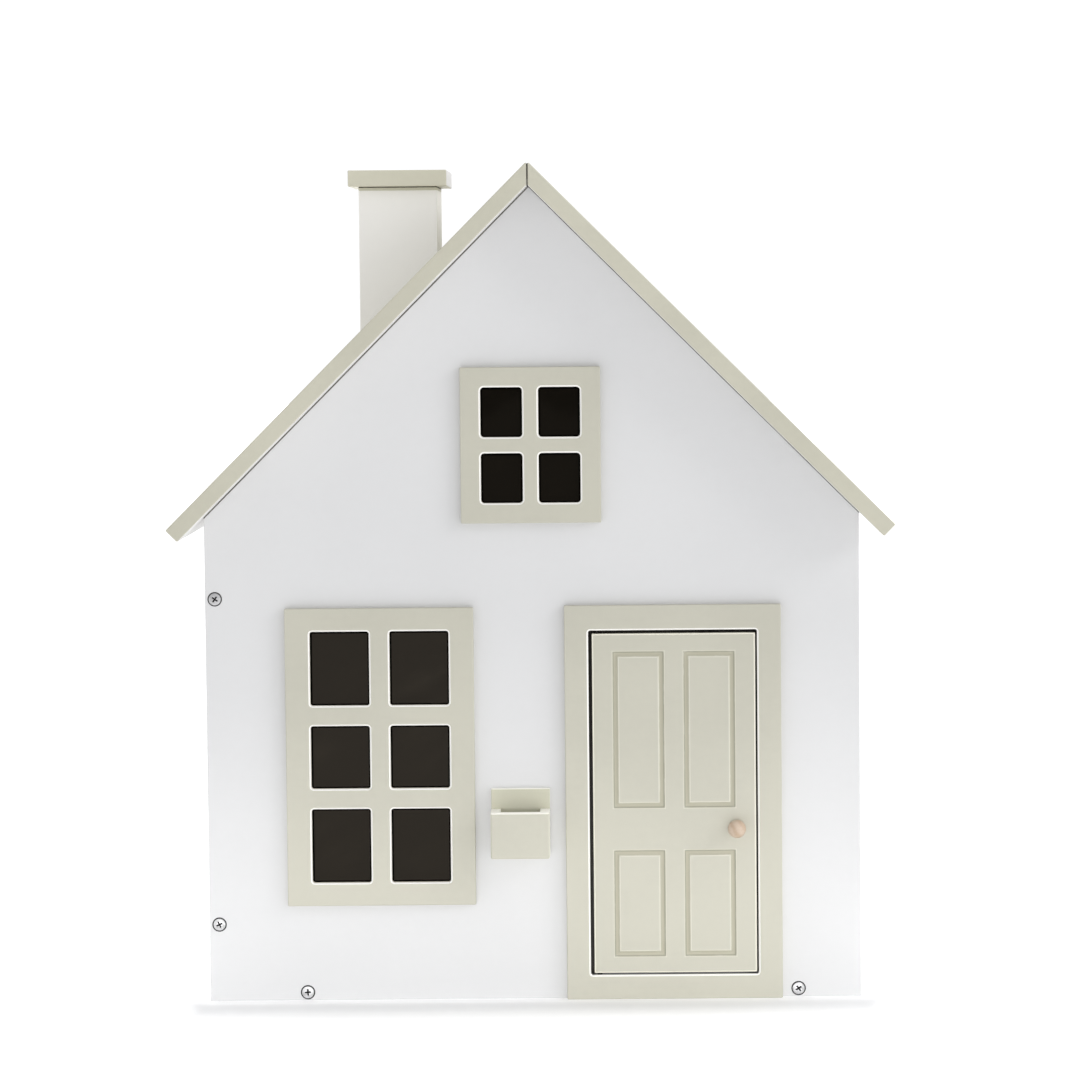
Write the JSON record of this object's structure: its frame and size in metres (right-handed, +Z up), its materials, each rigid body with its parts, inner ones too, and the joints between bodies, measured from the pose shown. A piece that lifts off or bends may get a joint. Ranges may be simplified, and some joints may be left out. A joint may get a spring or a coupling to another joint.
{
  "type": "wooden dollhouse",
  "caption": "Wooden dollhouse with a pitched roof, chimney, two framed windows, letter box, open back, two floors and a hinged front door.",
  "frame": {"origin": "centre of the footprint's box on the ground, under the ridge", "axes": "+X along the front to the right, +Y from the front wall to the open back, +Z up"},
  "size_m": [0.5192, 0.3, 0.602],
  "materials": {
    "white_paint": "smooth satin white paint on board",
    "sage_paint": "smooth satin sage-putty paint on board",
    "white_floor": "smooth satin white paint on board",
    "batten_wood": "bare planed wood",
    "window_pane": "glossy smoked sheet",
    "screw_zinc": "zinc plated",
    "steel": "plain drawn steel",
    "beech": "bare sanded beech"
  },
  "bodies": {
    "house": {"front_wall": "white_paint", "left_wall": "white_paint", "right_wall": "white_paint", "base_floor": "white_floor", "attic_floor": "white_floor", "roof_left": "sage_paint", "roof_right": "sage_paint", "ridge_batten": "batten_wood", "gable_cleat_left": "batten_wood", "gable_cleat_right": "batten_wood", "eave_cleat_left": "batten_wood", "eave_cleat_right": "batten_wood", "roof_screws": "screw_zinc", "chimney_front": "white_paint", "chimney_back": "white_paint", "chimney_left": "white_paint", "chimney_right": "white_paint", "chimney_block": "batten_wood", "chimney_cap": "sage_paint", "chimney_screws": "screw_zinc", "lower_window_frame": "sage_paint", "lower_window_pane": "window_pane", "upper_window_frame": "sage_paint", "upper_window_pane": "window_pane", "door_frame": "sage_paint", "hinge_pins": "steel", "hinge_washer": "steel", "door_stop_left": "batten_wood", "door_stop_right": "batten_wood", "door_stop_top": "batten_wood", "catch_magnet": "steel", "letterbox_back": "sage_paint", "letterbox_front": "sage_paint", "letterbox_left": "sage_paint", "letterbox_right": "sage_paint", "letterbox_bottom": "sage_paint", "edge_screws": "screw_zinc", "base_screws": "screw_zinc", "side_screws": "screw_zinc"},
    "door": {"door_leaf": "sage_paint", "door_knob": "beech", "knob_screw": "screw_zinc", "catch_plate": "steel"}
  },
  "joints": [
    {"name": "door_hinge", "type": "hinge", "parent": "house", "child": "door", "pos_m": [0.0464, -0.1225, 0.1419], "axis": [0, 0, -1], "range_deg": [0, 110]}
  ]
}
